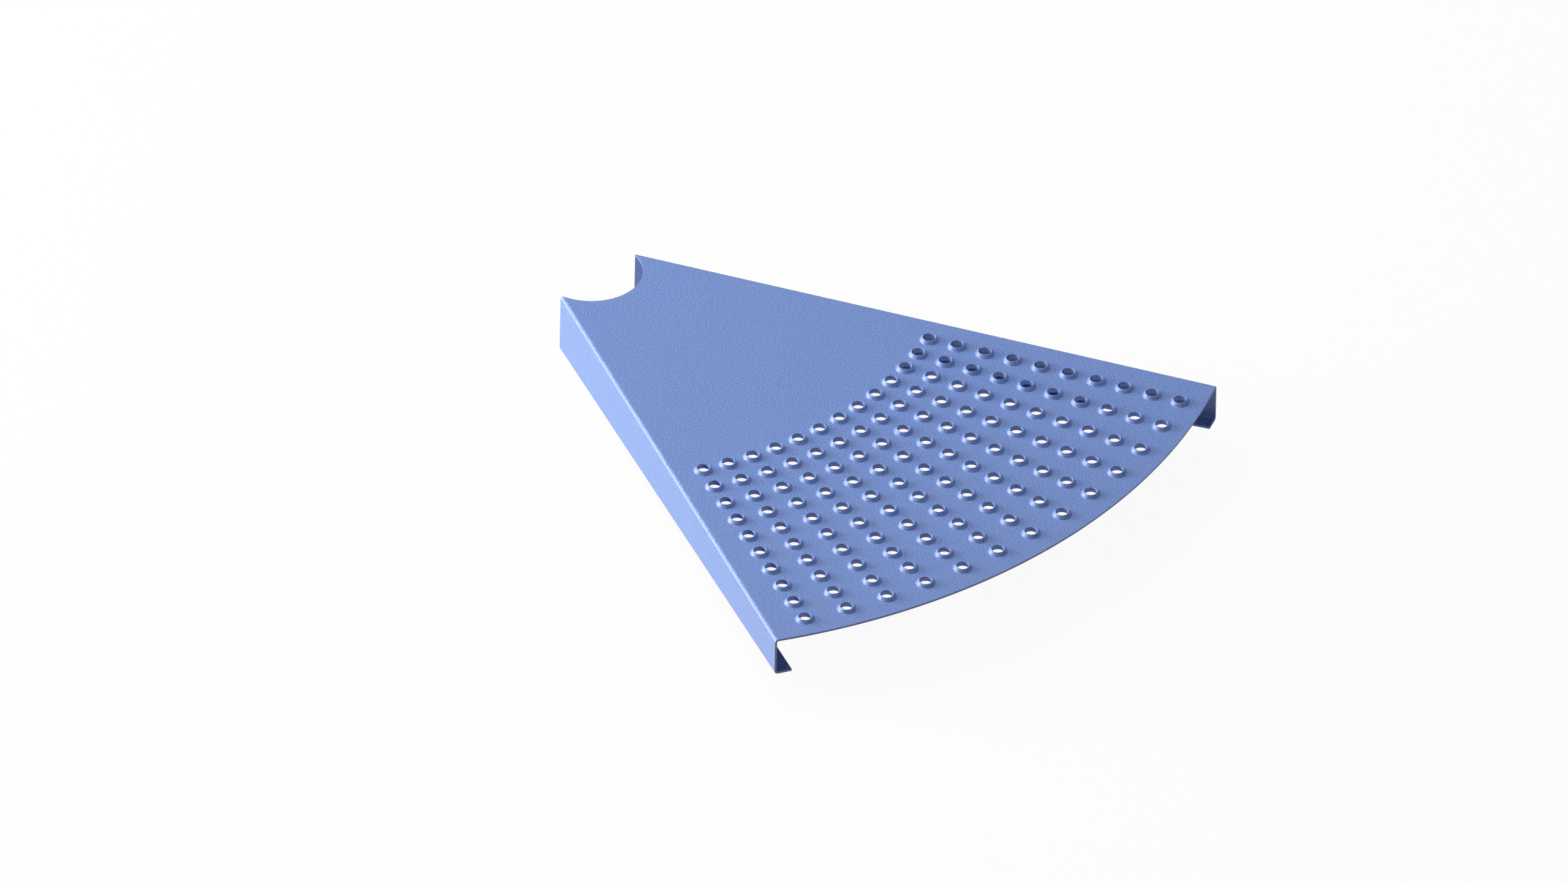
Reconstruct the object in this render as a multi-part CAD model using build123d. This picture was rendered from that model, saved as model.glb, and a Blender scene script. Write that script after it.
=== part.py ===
from build123d import *
import os
from math import cos, radians, sin, sqrt

# Metal spiral stair tread, folded from one sheet. The origin is on the axis of the stair's
# column, level with the walking surface. +X runs outward along the tread's middle line, +Z is up.

# Sheet
sheet = 3.0
bend_inside_radius = 2.0

# Column that the narrow end is cut round
column_diameter = 139.7
column_clearance = 0.5

# Plan of the walking plate. Each side runs parallel to a ray from a pole behind the column.
reach = 867.3
outer_edge_radius = 879.5
side_angle = 24.85
pole_setback = 76.75
side_offset = 26.0

# Side flanges, which get shallower outward, with a lip turned in along each lower edge
flange_depth_narrow = 87.4
flange_depth_wide = 56.1
lip_width = 24.5

# Raised holes, in rows that are arcs about the pole and columns that are rays from it. The margin
# is from the centres of the last row to the middle of the outer edge.
hole_diameter = 16.3
rim_width = 0.9
collar_foot_diameter = 28.3
collar_height = 4.8
underside_flare = 1.6
last_row_margin = 38.75
row_pitch = 40.0
row_count = 10
column_pitch_angle = 3.842
column_count = 13

# Sizes that follow from the ones above
bend_outside_radius = bend_inside_radius + sheet
notch_radius = column_diameter / 2 + column_clearance
outer_edge_centre_x = reach - outer_edge_radius
fold_line_offset = side_offset - bend_outside_radius
flange_inner_offset = side_offset - sheet
last_row_radius = pole_setback + reach - last_row_margin
first_row_radius = last_row_radius - (row_count - 1) * row_pitch
cut_overrun = 5.0

# Directions of the side on +Y: along it, outward from the column, and across it, away from the
# middle line
pole = Vector(-pole_setback, 0, 0)
along = Vector(cos(radians(side_angle)), sin(radians(side_angle)), 0)
across = Vector(-sin(radians(side_angle)), cos(radians(side_angle)), 0)


def distance_to_circle(centre_x, radius, offset):
    """Distance along the side at which a line parallel to it meets a circle on the middle line."""
    behind = centre_x + pole_setback
    foot = behind * cos(radians(side_angle))
    miss = offset + behind * sin(radians(side_angle))
    return foot + sqrt(radius**2 - miss**2)


# The flanges stop where their inner faces reach the notch, and level with the ends of the outer edge
narrow_end = distance_to_circle(0, notch_radius, flange_inner_offset)
wide_end = distance_to_circle(outer_edge_centre_x, outer_edge_radius, fold_line_offset)
side_length = wide_end - narrow_end
narrow_section_plane = Plane(pole + along * narrow_end, x_dir=across, z_dir=along)


def quarter_bend(corner_align):
    """Section of a bend: a quarter ring about its own centre, in the quadrant that the align picks."""
    ring = Circle(bend_outside_radius) - Circle(bend_inside_radius)
    return ring & Rectangle(bend_outside_radius, bend_outside_radius, align=corner_align)


def upper_bend():
    """Bend between the walking plate and the flange."""
    section = Pos(fold_line_offset, -bend_outside_radius) * quarter_bend((Align.MIN, Align.MIN))
    return extrude(narrow_section_plane * section, side_length)


def flange():
    """Flat flange between the two bends, drawn from the side and given the sheet's thickness."""
    inner_face = Plane(pole + across * flange_inner_offset, x_dir=along, z_dir=-across)
    outline = Polyline(
        (narrow_end, -bend_outside_radius),
        (wide_end, -bend_outside_radius),
        (wide_end, bend_outside_radius - flange_depth_wide),
        (narrow_end, bend_outside_radius - flange_depth_narrow),
        close=True,
    )
    return extrude(inner_face * make_face(outline), -sheet)


def lower_bend_and_lip():
    """Bend at the foot of the flange and the lip, which rise outward with the flange's lower edge."""
    bend_height = bend_outside_radius - flange_depth_narrow
    section = Pos(fold_line_offset, bend_height) * quarter_bend((Align.MIN, Align.MAX))
    lip_flat = lip_width - bend_outside_radius
    section += Pos(fold_line_offset, -flange_depth_narrow) * Rectangle(
        lip_flat, sheet, align=(Align.MAX, Align.MIN)
    )
    rise = Vector(0, 0, flange_depth_narrow - flange_depth_wide)
    slope = along * side_length + rise
    return extrude(narrow_section_plane * section, slope.length, dir=slope)


def walking_plate():
    """Flat plate between the two fold lines, with the curved outer edge."""
    inner_corner = pole + along * narrow_end + across * fold_line_offset
    outer_corner = pole + along * wide_end + across * fold_line_offset
    inner_mirrored = Vector(inner_corner.X, -inner_corner.Y, 0)
    outer_mirrored = Vector(outer_corner.X, -outer_corner.Y, 0)
    edges = [
        Line(inner_mirrored, inner_corner),
        Line(inner_corner, outer_corner),
        ThreePointArc(outer_corner, (reach, 0), outer_mirrored),
        Line(outer_mirrored, inner_mirrored),
    ]
    return extrude(make_face(edges), -sheet)


def raised_hole_places():
    """Centres of the raised holes on the walking surface."""
    first_angle = -column_pitch_angle * (column_count - 1) / 2
    places = []
    for row in range(row_count):
        radius = first_row_radius + row * row_pitch
        for column in range(column_count):
            angle = first_angle + column * column_pitch_angle
            places.append(Pos(pole) * Rot(Z=angle) * Pos(X=radius))
    return places


def collar():
    """Solid stub that the sheet is drawn up to round one hole, with a narrow flat rim."""
    rim_radius = hole_diameter / 2 + rim_width
    return Pos(Z=collar_height / 2) * Cone(collar_foot_diameter / 2, rim_radius, collar_height)


def punch():
    """What is taken out of one raised hole: the straight bore and the flared mouth underneath."""
    hole_radius = hole_diameter / 2
    profile = Polyline(
        (0, collar_height + cut_overrun),
        (hole_radius, collar_height + cut_overrun),
        (hole_radius, underside_flare - sheet),
        (hole_radius + underside_flare, -sheet),
        (hole_radius + underside_flare, -sheet - cut_overrun),
        (0, -sheet - cut_overrun),
        close=True,
    )
    return revolve(Plane.XZ * make_face(profile), Axis.Z)


def build_tread():
    """The whole tread: plate, folded sides, column notch and raised holes."""
    side = upper_bend() + flange() + lower_bend_and_lip()
    tread = walking_plate() + side + mirror(side, about=Plane.XZ)

    notch_height = flange_depth_narrow + 2 * cut_overrun
    tread -= Pos(Z=cut_overrun - notch_height / 2) * Cylinder(notch_radius, notch_height)

    one_collar, one_punch = collar(), punch()
    places = raised_hole_places()
    tread += [place * one_collar for place in places]
    tread -= [place * one_punch for place in places]
    return tread


os.makedirs("parts", exist_ok=True)
export_step(build_tread(), "parts/stair_tread.step")
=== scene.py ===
"""Studio scene of one folded and powder-coated spiral stair tread."""

import logging
import math
from dataclasses import dataclass, field
from enum import Enum
from typing import Any, Callable, Sequence

import bpy
from mathutils import Matrix, Vector


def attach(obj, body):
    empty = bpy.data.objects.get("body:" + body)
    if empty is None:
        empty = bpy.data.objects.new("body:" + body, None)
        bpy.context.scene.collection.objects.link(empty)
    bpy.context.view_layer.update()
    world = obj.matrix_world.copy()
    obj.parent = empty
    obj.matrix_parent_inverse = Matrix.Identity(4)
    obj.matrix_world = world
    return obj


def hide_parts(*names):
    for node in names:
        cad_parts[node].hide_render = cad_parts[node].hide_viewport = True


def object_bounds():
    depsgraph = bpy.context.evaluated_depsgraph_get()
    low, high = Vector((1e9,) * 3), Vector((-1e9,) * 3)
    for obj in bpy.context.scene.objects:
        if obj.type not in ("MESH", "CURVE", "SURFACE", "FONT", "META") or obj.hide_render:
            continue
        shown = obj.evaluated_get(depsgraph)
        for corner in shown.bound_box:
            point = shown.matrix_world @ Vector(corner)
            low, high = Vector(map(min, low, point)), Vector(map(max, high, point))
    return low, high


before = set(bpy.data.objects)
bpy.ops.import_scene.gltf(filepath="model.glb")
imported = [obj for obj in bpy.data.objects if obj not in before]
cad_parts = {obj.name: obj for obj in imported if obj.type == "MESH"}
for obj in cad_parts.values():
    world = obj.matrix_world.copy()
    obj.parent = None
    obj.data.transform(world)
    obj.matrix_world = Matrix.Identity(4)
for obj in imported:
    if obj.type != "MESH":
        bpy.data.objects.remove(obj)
cad_low, cad_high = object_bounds()

log = logging.getLogger("spiral_tread")

TREAD_NODE = "stair_tread"


class Side(Enum):
    """The two long sides of the tread, by the sign of their Y."""

    FRONT = -1
    REAR = 1


@dataclass(frozen=True)
class Viewpoint:
    """Parallel view of the tread from above its front outer corner.

    Attributes:
        azimuth: Turn of the camera round the upright axis, in radians.
        elevation: Height of the camera over the horizon, in radians.
        roll: Turn of the picture about the line of sight, in radians.
        aim: Point of the walking surface in the middle of the picture, in metres.
        width: Width of the view, in metres.
        distance: From the aim point to the camera, in metres.
    """

    azimuth: float = 0.770418
    elevation: float = 0.628783
    roll: float = -0.020406
    aim: tuple[float, float] = (0.45230, -0.08863)
    width: float = 2.09009
    distance: float = 6.0

    def axes(self) -> tuple[Vector, Vector, Vector]:
        """Works out the camera's own directions.

        Returns:
            Right, up and backward unit vectors of the camera.
        """
        turn, lift = self.azimuth, self.elevation
        right = Vector((math.cos(turn), math.sin(turn), 0))
        back = Vector(
            (math.sin(turn) * math.cos(lift), -math.cos(turn) * math.cos(lift), math.sin(lift))
        )
        up = back.cross(right)
        rolled_right = right * math.cos(self.roll) - up * math.sin(self.roll)
        rolled_up = right * math.sin(self.roll) + up * math.cos(self.roll)
        return rolled_right, rolled_up, back

    def build(self) -> bpy.types.Object:
        """Makes the scene's camera.

        Returns:
            The camera object.
        """
        right, up, back = self.axes()
        data = bpy.data.cameras.new("camera")
        data.type = "ORTHO"
        data.ortho_scale = self.width
        camera = bpy.data.objects.new("camera", data)
        bpy.context.scene.collection.objects.link(camera)
        turned = Matrix((right, up, back)).transposed().to_4x4()
        place = Vector((*self.aim, 0)) + back * self.distance
        camera.matrix_world = Matrix.Translation(place) @ turned
        bpy.context.scene.camera = camera
        return camera


@dataclass(frozen=True)
class SoftBox:
    """A square area lamp that points at the tread.

    Attributes:
        name: Name of the lamp.
        turn: Bearing of the lamp from the tread, in degrees from +X towards +Y.
        lift: Height of the lamp over the horizon, in degrees.
        level: About how bright a white face is that the lamp lights squarely.
        size: Side of the lamp, in metres.
        distance: From the tread to the lamp, in metres.
        colour: Colour of the light.
    """

    name: str
    turn: float
    lift: float
    level: float
    size: float
    distance: float = 6.0
    colour: tuple[float, float, float] = (1.0, 1.0, 1.0)

    def build(self, target: Vector) -> bpy.types.Object:
        """Makes the lamp.

        Args:
            target: Point that the lamp looks at.

        Returns:
            The lamp object.
        """
        turn, lift = math.radians(self.turn), math.radians(self.lift)
        away = Vector(
            (math.cos(turn) * math.cos(lift), math.sin(turn) * math.cos(lift), math.sin(lift))
        )
        data = bpy.data.lights.new(self.name, "AREA")
        data.shape = "SQUARE"
        data.size = self.size
        data.color = self.colour
        # The light on a face falls with the square of the distance, and so does its brightness.
        data.energy = self.level * math.pi * math.pi * self.distance**2
        lamp = bpy.data.objects.new(self.name, data)
        bpy.context.scene.collection.objects.link(lamp)
        lamp.location = target + away * self.distance
        lamp.rotation_mode = "QUATERNION"
        lamp.rotation_quaternion = away.to_track_quat("Z", "Y")
        return lamp


class Value:
    """A number in a shader, so that its maths is written as Python expressions."""

    def __init__(self, nodes: "NodeMaker", socket: Any) -> None:
        """Keeps the socket and its node maker.

        Args:
            nodes: Maker of the material's nodes.
            socket: Output socket that gives the number.
        """
        self.nodes = nodes
        self.socket = socket

    def _maths(self, operation: str, first: Any, second: Any = None) -> "Value":
        """Adds one Math node.

        Args:
            operation: What the node works out.
            first: Its first number.
            second: Its second number, if it takes two.

        Returns:
            The result.
        """
        values = [first] if second is None else [first, second]
        node = self.nodes.add("ShaderNodeMath", {"operation": operation}, values)
        return Value(self.nodes, node.outputs[0])

    def __add__(self, other: Any) -> "Value":
        """Sum."""
        return self._maths("ADD", self, other)

    def __sub__(self, other: Any) -> "Value":
        """Difference."""
        return self._maths("SUBTRACT", self, other)

    def __mul__(self, other: Any) -> "Value":
        """Product."""
        return self._maths("MULTIPLY", self, other)

    def clamped(self) -> "Value":
        """The value held between 0 and 1."""
        return self._maths("MINIMUM", self._maths("MAXIMUM", self, 0.0), 1.0)


class NodeMaker:
    """Adds nodes to one node tree."""

    def __init__(self, tree: bpy.types.NodeTree) -> None:
        """Empties the tree.

        Args:
            tree: Node tree of a material or a world.
        """
        self.tree = tree
        tree.nodes.clear()

    def add(
        self, kind: str, settings: dict[str, Any] | None = None, values: Any = ()
    ) -> bpy.types.Node:
        """Adds a node.

        Args:
            kind: Node type.
            settings: Properties of the node, set before its sockets.
            values: Values or links of its input sockets, by name or in order.

        Returns:
            The node.
        """
        node = self.tree.nodes.new(kind)
        for name, setting in (settings or {}).items():
            setattr(node, name, setting)
        pairs = values.items() if isinstance(values, dict) else enumerate(values)
        for key, value in pairs:
            socket = node.inputs[key]
            if isinstance(value, Value):
                self.tree.links.new(value.socket, socket)
            elif isinstance(value, bpy.types.NodeSocket):
                self.tree.links.new(value, socket)
            else:
                socket.default_value = value
        return node

    def number(self, socket: bpy.types.NodeSocket) -> Value:
        """Wraps an output socket for use in expressions.

        Args:
            socket: The socket.

        Returns:
            The number that it gives.
        """
        return Value(self, socket)

    def noise(
        self, place: bpy.types.NodeSocket, size: float, detail: float, roughness: float
    ) -> Value:
        """Adds a noise in three dimensions.

        Args:
            place: Point at which the noise is read.
            size: Size of its largest features, in metres.
            detail: Number of finer layers.
            roughness: Strength of each finer layer against the one before.

        Returns:
            The noise, round 0.5.
        """
        values = {"Vector": place, "Scale": 1 / size, "Detail": detail, "Roughness": roughness}
        node = self.add("ShaderNodeTexNoise", {"noise_dimensions": "3D"}, values)
        return self.number(node.outputs[0])

    def height_of(self, vector: bpy.types.NodeSocket) -> Value:
        """Takes the upright part of a vector.

        Args:
            vector: The vector.

        Returns:
            Its Z.
        """
        return self.number(self.add("ShaderNodeSeparateXYZ", None, [vector]).outputs["Z"])

    def blend(
        self, share: Value, first: Sequence[float], second: Sequence[float]
    ) -> bpy.types.NodeSocket:
        """Mixes two colours.

        Args:
            share: Share of the second colour, from 0 to 1.
            first: Red, green and blue of the colour at 0.
            second: Red, green and blue of the colour at 1.

        Returns:
            The mixed colour.
        """
        # The node has sockets of the same name for numbers, vectors and colours, so the colours'
        # own ones are picked by their place.
        first_in, second_in, mixed_out = 6, 7, 2
        values = {"Factor": share, first_in: [*first, 1.0], second_in: [*second, 1.0]}
        return self.add("ShaderNodeMix", {"data_type": "RGBA"}, values).outputs[mixed_out]


@dataclass(frozen=True)
class PowderCoat:
    """Fine-textured powder coat on sheet steel.

    Attributes:
        name: Name of the material.
        colour: Mean colour of the coat.
        speckle: How much lighter and darker than that the grains can be.
        contrast: How sharply the grains differ on an upright face.
        contrast_when_level: What a level face adds to that contrast.
        grain: Size of the grains, in metres.
        orange_peel: Size of the soft waves of the coat, in metres.
        wave_share: Height of the waves against that of the grains.
        relief: Height of the grains, in metres.
        relief_strength: Share of the relief that shows.
        roughness: Mean roughness.
        roughness_spread: Difference in roughness between the top and the foot of a grain.
        ior: Index of refraction, which sets how much the coat reflects.
    """

    name: str = "powder_coat"
    colour: tuple[float, float, float] = (0.155, 0.280, 0.700)
    speckle: tuple[float, float, float] = (0.150, 0.200, 0.245)
    contrast: float = 1.4
    contrast_when_level: float = 2.8
    grain: float = 0.0012
    orange_peel: float = 0.009
    wave_share: float = 1.5
    relief: float = 0.0002
    relief_strength: float = 0.25
    roughness: float = 0.52
    roughness_spread: float = 0.10
    ior: float = 1.85

    def build(self) -> bpy.types.Material:
        """Makes the material.

        Returns:
            The material.
        """
        material = bpy.data.materials.new(self.name)
        material.use_nodes = True
        nodes = NodeMaker(material.node_tree)
        place = nodes.add("ShaderNodeTexCoord").outputs["Object"]
        grains = nodes.noise(place, self.grain, detail=2.0, roughness=0.6)
        waves = nodes.noise(place, self.orange_peel, detail=1.0, roughness=0.5)
        level = nodes.height_of(nodes.add("ShaderNodeNewGeometry").outputs["Normal"])
        contrast = level * level * self.contrast_when_level + self.contrast
        tone = ((grains - 0.5) * contrast + 0.5).clamped()
        dark = [mean - swing for mean, swing in zip(self.colour, self.speckle)]
        light = [mean + swing for mean, swing in zip(self.colour, self.speckle)]
        bump = nodes.add(
            "ShaderNodeBump",
            None,
            {
                "Strength": self.relief_strength,
                "Distance": self.relief,
                "Height": grains + waves * self.wave_share,
            },
        )
        least_roughness = self.roughness - self.roughness_spread / 2
        shader = nodes.add(
            "ShaderNodeBsdfPrincipled",
            None,
            {
                "Base Color": nodes.blend(tone, dark, light),
                "Roughness": grains * self.roughness_spread + least_roughness,
                "Normal": bump.outputs[0],
                "IOR": self.ior,
            },
        )
        nodes.add("ShaderNodeOutputMaterial", None, {"Surface": shader.outputs[0]})
        return material


@dataclass(frozen=True)
class StudioFloor:
    """Pale floor with a low wall round it, which look white but throw little light back.

    Attributes:
        reach: Radius of the floor, in metres.
        sides: Number of flats round the floor.
        wall: Height of the wall, in metres.
        gap: Space between the tread's lowest edge and the floor, in metres.
        seen: Brightness of the floor's colour in the picture.
        glow: Share of the floor's white that doesn't depend on the lamps.
        bounce: Colour that the floor throws back on the tread.
    """

    reach: float = 24.0
    sides: int = 96
    wall: float = 5.0
    gap: float = 0.0002
    seen: float = 0.92
    glow: float = 0.94
    bounce: tuple[float, float, float] = (0.36, 0.17, 0.08)

    def surface(self) -> bpy.types.Material:
        """Makes the floor's material.

        Returns:
            The material.
        """
        material = bpy.data.materials.new("studio_floor")
        material.use_nodes = True
        nodes = NodeMaker(material.node_tree)
        path = nodes.add("ShaderNodeLightPath").outputs
        seen = (
            nodes.number(path["Is Camera Ray"])
            + nodes.number(path["Is Glossy Ray"])
            + nodes.number(path["Is Transmission Ray"])
        ).clamped()
        matt = nodes.add("ShaderNodeBsdfDiffuse", None, {"Color": [self.seen] * 3 + [1.0]})
        white = nodes.add("ShaderNodeEmission", None, {"Color": [1.0] * 4, "Strength": 1.0})
        pale = nodes.add("ShaderNodeMixShader", None, [self.glow, matt.outputs[0], white.outputs[0]])
        dull = nodes.add("ShaderNodeBsdfDiffuse", None, {"Color": [*self.bounce, 1.0]})
        both = nodes.add("ShaderNodeMixShader", None, [seen, dull.outputs[0], pale.outputs[0]])
        nodes.add("ShaderNodeOutputMaterial", None, {"Surface": both.outputs[0]})
        return material

    def build(self, height: float) -> bpy.types.Object:
        """Makes the floor.

        Args:
            height: Height of the tread's lowest edge, in metres.

        Returns:
            The floor object.
        """
        deselect_all()
        bpy.ops.mesh.primitive_circle_add(
            vertices=self.sides, radius=self.reach, fill_type="NGON",
            location=(0, 0, height - self.gap),
        )
        floor = bpy.context.active_object
        floor.name = "studio_floor"
        edit_all(floor, "FACE")
        bpy.ops.mesh.extrude_region_move(TRANSFORM_OT_translate={"value": (0, 0, self.wall)})
        bpy.ops.mesh.delete(type="ONLY_FACE")
        leave_edit()
        bpy.ops.object.transform_apply(location=True, rotation=True, scale=True)
        floor.data.materials.append(self.surface())
        return floor


def set_world(ambient: float, under: float, sharpness: float = 1000.0) -> None:
    """Lights the scene dimly from above, with a pale ground beyond the floor's edge.

    Args:
        ambient: Brightness of the world above the horizon.
        under: Brightness of the world below the horizon, which the floor hides from the tread.
        sharpness: How fast the one turns into the other below the horizon.
    """
    world = bpy.data.worlds.new("studio")
    world.use_nodes = True
    bpy.context.scene.world = world
    nodes = NodeMaker(world.node_tree)
    direction = nodes.add("ShaderNodeTexCoord").outputs["Generated"]
    below = (nodes.height_of(direction) * -sharpness).clamped()
    colour = nodes.blend(below, [ambient] * 3, [under] * 3)
    glow = nodes.add("ShaderNodeBackground", None, {"Color": colour, "Strength": 1.0})
    nodes.add("ShaderNodeOutputWorld", None, {"Surface": glow.outputs[0]})


def deselect_all() -> None:
    """Clears the selection of objects."""
    bpy.ops.object.select_all(action="DESELECT")


def make_active(thing: bpy.types.Object) -> None:
    """Selects one object only and makes it active.

    Args:
        thing: The object.
    """
    deselect_all()
    thing.select_set(True)
    bpy.context.view_layer.objects.active = thing


def edit(thing: bpy.types.Object, kind: str = "VERT") -> None:
    """Opens an object in edit mode with nothing selected.

    Args:
        thing: The object.
        kind: Element type to select, VERT, EDGE or FACE.
    """
    if thing.mode == "EDIT":
        leave_edit()
    make_active(thing)
    bpy.ops.object.mode_set(mode="EDIT")
    bpy.ops.mesh.select_mode(type=kind)
    bpy.ops.mesh.select_all(action="DESELECT")


def edit_all(thing: bpy.types.Object, kind: str = "VERT") -> None:
    """Opens an object in edit mode with everything selected.

    Args:
        thing: The object.
        kind: Element type to select, VERT, EDGE or FACE.
    """
    edit(thing, kind)
    bpy.ops.mesh.select_all(action="SELECT")


def leave_edit() -> None:
    """Closes edit mode."""
    bpy.ops.object.mode_set(mode="OBJECT")


def deselect_parts(thing: bpy.types.Object, kind: str = "VERT") -> None:
    """Clears the selection of an object's own vertices, edges and faces.

    Args:
        thing: The object.
        kind: Element type that edit mode selects next, VERT, EDGE or FACE.
    """
    edit(thing, kind)
    leave_edit()


def choose_vertices(
    thing: bpy.types.Object, test: Callable[[Vector], bool], kind: str = "VERT"
) -> None:
    """Selects the vertices of an object that pass a test, and opens it in edit mode.

    Args:
        thing: The object.
        test: Takes a vertex's place and tells whether to select it.
        kind: Element type to leave selected between them, VERT, EDGE or FACE.
    """
    deselect_parts(thing)
    for vertex in thing.data.vertices:
        vertex.select = test(vertex.co)
    bpy.ops.object.mode_set(mode="EDIT")
    bpy.ops.mesh.select_mode(type=kind)


def apply_modifier(thing: bpy.types.Object, kind: str, **settings: Any) -> None:
    """Adds a modifier and applies it at once.

    Args:
        thing: The object.
        kind: Modifier type.
        settings: Properties of the modifier.
    """
    make_active(thing)
    modifier = thing.modifiers.new(kind.lower(), kind)
    for name, value in settings.items():
        setattr(modifier, name, value)
    bpy.ops.object.modifier_apply(modifier=modifier.name)


def arc(
    centre: tuple[float, float], radius: float, start: float, end: float, steps: int
) -> list[tuple[float, float]]:
    """Points along an arc of a section.

    Args:
        centre: Centre of the arc, as radius and height.
        radius: Radius of the arc.
        start: Angle of the first point, in degrees.
        end: Angle of the last point, in degrees.
        steps: Number of straight pieces.

    Returns:
        Radius and height of each point, both ends included.
    """
    turns = [math.radians(start + (end - start) * step / steps) for step in range(steps + 1)]
    return [(centre[0] + radius * math.cos(t), centre[1] + radius * math.sin(t)) for t in turns]


@dataclass
class RaisedHole:
    """One grip hole that is drawn up out of the walking plate.

    Attributes:
        bore: Radius of the bore, in metres.
        height: Height of the rim over the plate, in metres.
        foot: Radius at which the collar leaves the plate, in metres.
        foot_fillet: Radius of the hollow rounding at the foot, in metres.
        rim: Width of the rounded rim, in metres.
        skirt: Width of the flat ring of plate round the foot, in metres.
        flare: Radius of the rounded mouth on the underside, in metres.
        sheet: Thickness of the sheet, in metres.
        sides: Number of flats that stand for the circle.
        foot_steps: Number of flats in the rounding at the foot.
        rim_steps: Number of flats over the rim.
        mouth_steps: Number of flats in the rounded mouth.
    """

    bore: float = 0.00815
    height: float = 0.0048
    foot: float = 0.01390
    foot_fillet: float = 0.0016
    rim: float = 0.0016
    skirt: float = 0.0008
    flare: float = 0.0016
    sheet: float = 0.0030
    sides: int = 36
    foot_steps: int = 4
    rim_steps: int = 5
    mouth_steps: int = 3

    @property
    def outer_radius(self) -> float:
        """Radius at which the collar joins the flat plate."""
        return self.foot + self.skirt

    def section(self) -> list[tuple[float, float]]:
        """Works out the rings of the collar, from the plate over the rim to the underside.

        The collar's wall is the straight line that touches the roundings at its foot and rim.

        Returns:
            Radius and height of each ring.
        """
        edge, fillet = self.rim / 2, self.foot_fillet
        run = self.foot - self.bore - edge
        rise = self.height - edge - fillet
        slope = math.atan2(rise, run) + math.asin((edge + fillet) / math.hypot(run, rise))
        lean = math.degrees(slope)
        foot = arc((self.foot, fillet), fillet, -90, -90 - lean, self.foot_steps)
        crown = arc((self.bore + edge, self.height - edge), edge, 90 - lean, 180, self.rim_steps)
        mouth_centre = (self.bore + self.flare, self.flare - self.sheet)
        mouth = arc(mouth_centre, self.flare, 180, 270, self.mouth_steps)
        return [(self.outer_radius, 0.0), *foot, *crown, *mouth, (self.outer_radius, -self.sheet)]

    def build(self) -> bpy.types.Object:
        """Models the collar ring by ring.

        Returns:
            The collar, open where it joins the plate's two faces.
        """
        rings = self.section()
        deselect_all()
        bpy.ops.mesh.primitive_circle_add(
            vertices=self.sides, radius=self.outer_radius, fill_type="NOTHING"
        )
        collar = bpy.context.active_object
        collar.name = "collar"
        edit_all(collar, "EDGE")
        for (radius, height), (next_radius, next_height) in zip(rings, rings[1:]):
            rise = (0, 0, next_height - height)
            bpy.ops.mesh.extrude_region_move(TRANSFORM_OT_translate={"value": rise})
            ratio = next_radius / radius
            bpy.ops.transform.resize(value=(ratio, ratio, 1), center_override=(0, 0, next_height))
        leave_edit()
        return collar


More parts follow.
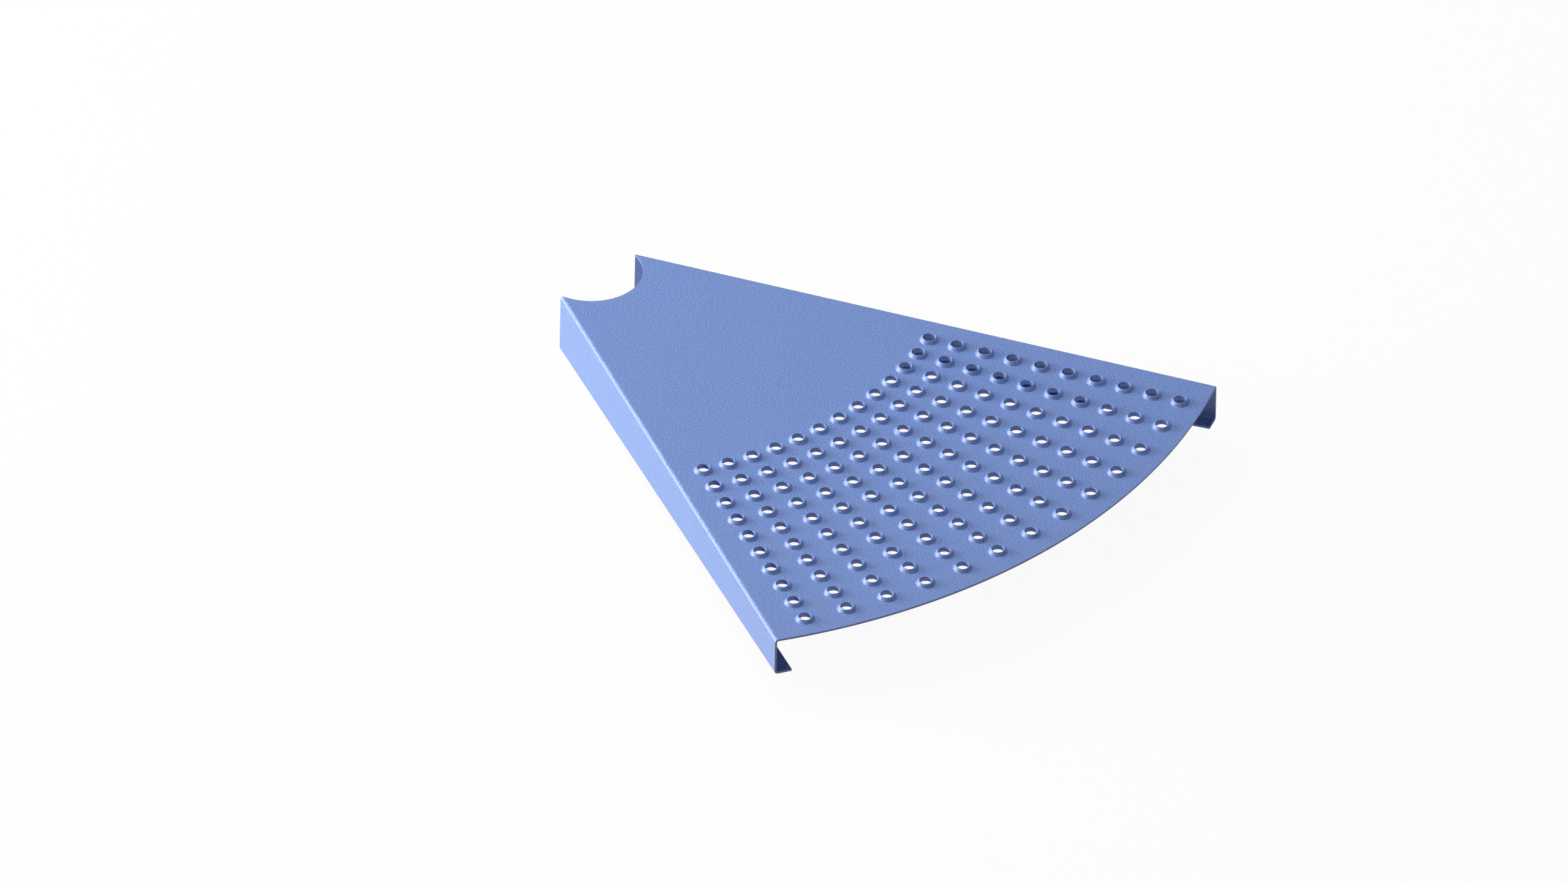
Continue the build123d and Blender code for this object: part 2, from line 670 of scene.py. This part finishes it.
@dataclass
class FoldedSheet:
    """The tread's sheet: walking plate, two folded sides with lips, notch and raised holes.

    Lengths are in metres.

    Attributes:
        sheet: Thickness of the sheet.
        bend: Inside radius of every fold.
        notch: Radius of the round notch for the column.
        reach: Distance of the outer edge from the column's axis on the middle line.
        outer_radius: Radius of the curved outer edge.
        side_angle: Angle of each side from the middle line, in degrees.
        pole_x: Place on the middle line of the pole that the sides and holes are laid out from.
        side_offset: Distance from the ray through the pole to the flange's outer face.
        depth_narrow: Depth of the sides at the column.
        depth_wide: Depth of the sides at the outer edge.
        lip: Width of the lip, over the bend.
        first_row: Radius of the first row of holes about the pole.
        row_pitch: Spacing of the rows.
        rows: Number of rows.
        column_pitch: Angle between neighbouring columns of holes, in degrees.
        columns: Number of columns.
        edge: Rounding of the cut edges under the coat.
        edge_angle: Least angle between two faces whose edge is rounded, in degrees.
        smooth_angle: Greatest angle between two faces that look like one, in degrees.
        outer_sides: Number of flats that a whole circle with the outer edge's radius would have.
        notch_sides: Number of flats that a whole circle with the notch's radius would have.
        bend_steps: Number of flats round every fold.
        close: Distance within which a point counts as lying on a line or a plane.
        merge: Distance within which points of the folded sheet are merged.
        weld: Distance within which points of the plate and the collars are merged.
        hole: The raised hole.
    """

    sheet: float = 0.0030
    bend: float = 0.0020
    notch: float = 0.07035
    reach: float = 0.8673
    outer_radius: float = 0.8795
    side_angle: float = 24.85
    pole_x: float = -0.07675
    side_offset: float = 0.0260
    depth_narrow: float = 0.0874
    depth_wide: float = 0.0561
    lip: float = 0.0245
    first_row: float = 0.5453
    row_pitch: float = 0.0400
    rows: int = 10
    column_pitch: float = 3.842
    columns: int = 13
    edge: float = 0.0004
    edge_angle: float = 50.0
    smooth_angle: float = 38.0
    outer_sides: int = 720
    notch_sides: int = 144
    bend_steps: int = 8
    close: float = 1e-5
    merge: float = 1e-6
    weld: float = 2e-6
    hole: RaisedHole = field(default_factory=RaisedHole)

    @property
    def bend_outside(self) -> float:
        """Outside radius of a fold."""
        return self.bend + self.sheet

    @property
    def fold_offset(self) -> float:
        """Distance from the ray through the pole to the line where the upper fold starts."""
        return self.side_offset - self.bend_outside

    @property
    def pole(self) -> Vector:
        """Point behind the column that the sides and the rows of holes are laid out from."""
        return Vector((self.pole_x, 0, 0))

    def along(self, side: Side) -> Vector:
        """Gives the direction of a side, outward from the column.

        Args:
            side: The side.

        Returns:
            A unit vector.
        """
        turn = math.radians(self.side_angle)
        return Vector((math.cos(turn), side.value * math.sin(turn), 0))

    def across(self, side: Side) -> Vector:
        """Gives the direction square to a side, away from the middle line.

        Args:
            side: The side.

        Returns:
            A unit vector.
        """
        turn = math.radians(self.side_angle)
        return Vector((-math.sin(turn), side.value * math.cos(turn), 0))

    def station(self, side: Side, place: Vector) -> tuple[float, float]:
        """Measures where a point lies on a side.

        Args:
            side: The side.
            place: The point.

        Returns:
            Distance from the pole along the side, and across it.
        """
        from_pole = place - self.pole
        return from_pole.dot(self.along(side)), from_pole.dot(self.across(side))

    def side_reaches(self, centre_x: float, radius: float, offset: float) -> float:
        """Finds where a line parallel to a side meets a circle centred on the middle line.

        Args:
            centre_x: Place of the circle's centre on the middle line.
            radius: Radius of the circle.
            offset: Distance of the line from the ray through the pole.

        Returns:
            Distance along the side from the pole.
        """
        behind = centre_x - self.pole_x
        turn = math.radians(self.side_angle)
        miss = offset + behind * math.sin(turn)
        return behind * math.cos(turn) + math.sqrt(radius**2 - miss**2)

    @property
    def outer_centre_x(self) -> float:
        """Place on the middle line of the centre of the outer edge."""
        return self.reach - self.outer_radius

    @property
    def narrow_end(self) -> float:
        """Distance along a side to its end at the column."""
        return self.side_reaches(0, self.notch, self.side_offset - self.sheet)

    @property
    def wide_end(self) -> float:
        """Distance along a side to its end at the outer edge."""
        return self.side_reaches(self.outer_centre_x, self.outer_radius, self.fold_offset)

    def fold_start(self, side: Side) -> Vector:
        """Finds the end at the column of the line where a side's upper fold starts.

        Args:
            side: The side.

        Returns:
            The point.
        """
        return self.pole + self.along(side) * self.narrow_end + self.across(side) * self.fold_offset

    def cut_plate(self) -> bpy.types.Object:
        """Cuts the outline of the walking plate out of a disc with the outer edge's radius.

        Returns:
            The plate's top face, up to its two fold lines.
        """
        deselect_all()
        bpy.ops.mesh.primitive_circle_add(
            vertices=self.outer_sides, radius=self.outer_radius, fill_type="NGON",
            location=(self.outer_centre_x, 0, 0),
        )
        plate = bpy.context.active_object
        plate.name = "tread_sheet"
        bpy.ops.object.transform_apply(location=True, rotation=True, scale=True)
        bpy.ops.object.mode_set(mode="EDIT")
        for side in Side:
            bpy.ops.mesh.select_all(action="SELECT")
            bpy.ops.mesh.bisect(
                plane_co=self.pole + self.across(side) * self.fold_offset,
                plane_no=self.across(side), clear_outer=True,
            )
        narrow_x = self.fold_start(Side.REAR).x
        bpy.ops.mesh.select_all(action="SELECT")
        bpy.ops.mesh.bisect(plane_co=(narrow_x, 0, 0), plane_no=(1, 0, 0), clear_inner=True)
        leave_edit()
        return plate

    def fold_side(self, plate: bpy.types.Object, side: Side) -> None:
        """Folds the flange and its lip down from one edge of the plate's top face.

        Args:
            plate: The plate.
            side: Which side to fold.
        """
        along, across = self.along(side), self.across(side)
        turn = side.value * math.pi / 2
        foot = self.bend_outside - self.depth_narrow
        rise = self.depth_narrow - self.depth_wide
        wide_foot = foot + rise
        halfway = (self.narrow_end + self.wide_end) / 2

        def on_fold_line(place: Vector) -> bool:
            """Whether a point lies on the line where the upper fold starts."""
            offset = self.station(side, place)[1]
            return abs(offset - self.fold_offset) < self.close and place.z > -self.close

        def at_wide_foot(place: Vector) -> bool:
            """Whether a point is the flange's lower corner at the outer edge, before it is lifted."""
            distance, offset = self.station(side, place)
            low = abs(place.z - foot) < self.close
            return low and distance > halfway and offset > self.fold_offset

        def on_flange_foot(place: Vector) -> bool:
            """Whether a point lies at either end of the flange's lower edge."""
            low = min(abs(place.z - foot), abs(place.z - wide_foot)) < self.close
            return low and self.station(side, place)[1] > self.side_offset - self.close

        choose_vertices(plate, on_fold_line, "EDGE")
        fold_centre = self.pole + across * self.fold_offset - Vector((0, 0, self.bend_outside))
        bpy.ops.mesh.spin(steps=self.bend_steps, angle=turn, center=fold_centre, axis=along)
        drop = self.depth_narrow - 2 * self.bend_outside
        bpy.ops.mesh.extrude_region_move(TRANSFORM_OT_translate={"value": (0, 0, -drop)})
        choose_vertices(plate, at_wide_foot)
        bpy.ops.transform.translate(value=(0, 0, rise))

        slope = (along * (self.wide_end - self.narrow_end) + Vector((0, 0, rise))).normalized()
        choose_vertices(plate, on_flange_foot, "EDGE")
        lip_centre = self.fold_start(side) + Vector((0, 0, foot))
        bpy.ops.mesh.spin(steps=self.bend_steps, angle=turn, center=lip_centre, axis=slope)
        flat = -across * (self.lip - self.bend_outside)
        bpy.ops.mesh.extrude_region_move(TRANSFORM_OT_translate={"value": flat})
        leave_edit()

    def cut_notch(self, body: bpy.types.Object) -> None:
        """Cuts the notch for the column through the plate, the folds, the flanges and the lips.

        Args:
            body: The folded sheet.
        """
        deselect_all()
        bpy.ops.mesh.primitive_cylinder_add(
            vertices=self.notch_sides, radius=self.notch, depth=3 * self.depth_narrow,
            end_fill_type="NGON", location=(0, 0, -self.depth_narrow / 2),
        )
        cutter = bpy.context.active_object
        apply_modifier(body, "BOOLEAN", operation="DIFFERENCE", object=cutter, solver="EXACT")
        bpy.data.objects.remove(cutter)

    def hole_places(self) -> list[Matrix]:
        """Lays out the raised holes.

        Returns:
            Place and turn of every hole, row by row.
        """
        places = []
        pole = Matrix.Translation(self.pole)
        for row in range(self.rows):
            out = Matrix.Translation((self.first_row + row * self.row_pitch, 0, 0))
            for column in range(self.columns):
                turn = math.radians((column - (self.columns - 1) / 2) * self.column_pitch)
                places.append(pole @ Matrix.Rotation(turn, 4, "Z") @ out)
        return places

    def copies(self, pattern: bpy.types.Object) -> bpy.types.Object:
        """Copies a piece to the place of every hole and joins the copies.

        Args:
            pattern: The piece, modelled about the origin. It is used up.

        Returns:
            The joined copies.
        """
        deselect_all()
        made = []
        for place in self.hole_places():
            copy = bpy.data.objects.new(pattern.name, pattern.data.copy())
            copy.data.transform(place)
            bpy.context.scene.collection.objects.link(copy)
            copy.select_set(True)
            made.append(copy)
        bpy.context.view_layer.objects.active = made[0]
        bpy.ops.object.join()
        bpy.data.objects.remove(pattern)
        return made[0]

    def open_plate(self, body: bpy.types.Object) -> None:
        """Opens a round window in both faces of the plate for each collar.

        Args:
            body: The folded sheet.
        """
        deselect_all()
        bpy.ops.mesh.primitive_cylinder_add(
            vertices=self.hole.sides, radius=self.hole.outer_radius, depth=6 * self.sheet,
            end_fill_type="NGON", location=(0, 0, 0),
        )
        cutter = self.copies(bpy.context.active_object)
        apply_modifier(body, "BOOLEAN", operation="DIFFERENCE", object=cutter, solver="EXACT")
        bpy.data.objects.remove(cutter)
        self.drop_window_walls(body)

    def drop_window_walls(self, body: bpy.types.Object) -> None:
        """Deletes the walls between the plate's two faces that the cut windows left.

        Args:
            body: The folded sheet with its windows.
        """
        centres = [place.translation.xy for place in self.hole_places()]

        def at_window(place: Vector) -> bool:
            """Whether a point lies beside the edge of a window, within the sheet's thickness."""
            radii = ((place.xy - centre).length for centre in centres)
            return any(abs(radius - self.hole.outer_radius) < self.sheet for radius in radii)

        deselect_parts(body, "FACE")
        greatest_tilt = 0.1
        for face in body.data.polygons:
            within = self.close - self.sheet < face.center.z < -self.close
            upright = abs(face.normal.z) < greatest_tilt
            face.select = within and upright and at_window(face.center)
        bpy.ops.object.mode_set(mode="EDIT")
        bpy.ops.mesh.delete(type="ONLY_FACE")
        leave_edit()

    def weld_rims(self, body: bpy.types.Object) -> None:
        """Joins the collars to the windows of the plate without a gap.

        A window has a few corners that its collar lacks. The collar's edge is split there, and the
        split is merged with the corner.

        Args:
            body: The sheet and the collars, as one object.
        """
        edit_all(body)
        bpy.ops.mesh.remove_doubles(threshold=self.weld)
        bpy.ops.mesh.delete_loose(use_verts=True, use_edges=True, use_faces=False)
        bpy.ops.mesh.select_all(action="DESELECT")
        bpy.ops.mesh.select_non_manifold(
            extend=False, use_wire=False, use_boundary=True, use_multi_face=False,
            use_non_contiguous=False, use_verts=False,
        )
        settings = bpy.context.scene.tool_settings
        settings.use_mesh_automerge = True
        settings.use_mesh_automerge_and_split = True
        settings.double_threshold = self.weld
        # Any transform starts the automatic merge, so one that moves nothing is enough.
        bpy.ops.transform.translate(value=(0, 0, 0))
        settings.use_mesh_automerge = False
        bpy.ops.mesh.select_all(action="SELECT")
        bpy.ops.mesh.normals_make_consistent(inside=False)
        leave_edit()

    def face_outward(self, skin: bpy.types.Object) -> None:
        """Merges doubled points of the folded surface and turns its walking plate to face up.

        Args:
            skin: The outer surface of the folded sheet, which has no thickness yet.
        """
        edit_all(skin)
        bpy.ops.mesh.remove_doubles(threshold=self.merge)
        bpy.ops.mesh.normals_make_consistent(inside=False)
        leave_edit()
        walking_face = max(skin.data.polygons, key=lambda face: face.area)
        if walking_face.normal.z < 0:
            edit_all(skin)
            bpy.ops.mesh.flip_normals()
            leave_edit()

    def build(self) -> bpy.types.Object:
        """Models the whole sheet.

        Returns:
            The finished piece.
        """
        body = self.cut_plate()
        for side in Side:
            self.fold_side(body, side)
        self.face_outward(body)
        apply_modifier(body, "SOLIDIFY", thickness=self.sheet, offset=-1, use_even_offset=True)
        self.cut_notch(body)
        apply_modifier(
            body, "BEVEL", width=self.edge, segments=2, limit_method="ANGLE",
            angle_limit=math.radians(self.edge_angle),
        )
        self.open_plate(body)
        collars = self.copies(self.hole.build())
        deselect_all()
        collars.select_set(True)
        body.select_set(True)
        bpy.context.view_layer.objects.active = body
        bpy.ops.object.join()
        self.weld_rims(body)
        make_active(body)
        bpy.ops.object.shade_smooth_by_angle(angle=math.radians(self.smooth_angle))
        apply_modifier(body, "WEIGHTED_NORMAL", keep_sharp=True, weight=100)
        return body


def count_triangles(thing: bpy.types.Object) -> int:
    """Counts the triangles of a finished piece.

    Args:
        thing: The piece.

    Returns:
        Number of triangles, once every face is split into them.
    """
    return sum(len(face.vertices) - 2 for face in thing.data.polygons)


def count_open_edges(thing: bpy.types.Object) -> int:
    """Counts the edges of a piece that don't join exactly two faces.

    Args:
        thing: The piece.

    Returns:
        Number of such edges, which is 0 for a closed mesh.
    """
    uses: dict[tuple[int, int], int] = {}
    for face in thing.data.polygons:
        for key in face.edge_keys:
            uses[key] = uses.get(key, 0) + 1
    return sum(count != 2 for count in uses.values())


def main() -> None:
    """Builds the scene."""
    logging.basicConfig(level=logging.INFO, format="%(message)s")
    bpy.context.scene.view_settings.view_transform = "Standard"
    Viewpoint().build()

    tread = FoldedSheet().build()
    coat = PowderCoat()
    tread.data.materials.clear()
    tread.data.materials.append(coat.build())
    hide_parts(TREAD_NODE)
    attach(tread, "root")
    triangles, open_edges = count_triangles(tread), count_open_edges(tread)
    log.info("%s: %d triangles, %d open edges", tread.name, triangles, open_edges)

    StudioFloor().build(cad_low.z)
    middle = (cad_low + cad_high) / 2
    lamps: Sequence[SoftBox] = (
        SoftBox("key_light", turn=182, lift=64, level=0.72, size=6.5),
        SoftBox("fill_light", turn=-12, lift=34, level=0.10, size=5.0, colour=(1.0, 0.76, 0.58)),
        SoftBox("side_light", turn=-144, lift=8, level=2.10, size=4.0, colour=(1.0, 0.96, 0.83)),
    )
    for lamp in lamps:
        lamp.build(middle)
    set_world(ambient=0.08, under=0.97)


if __name__ == "__main__":
    main()
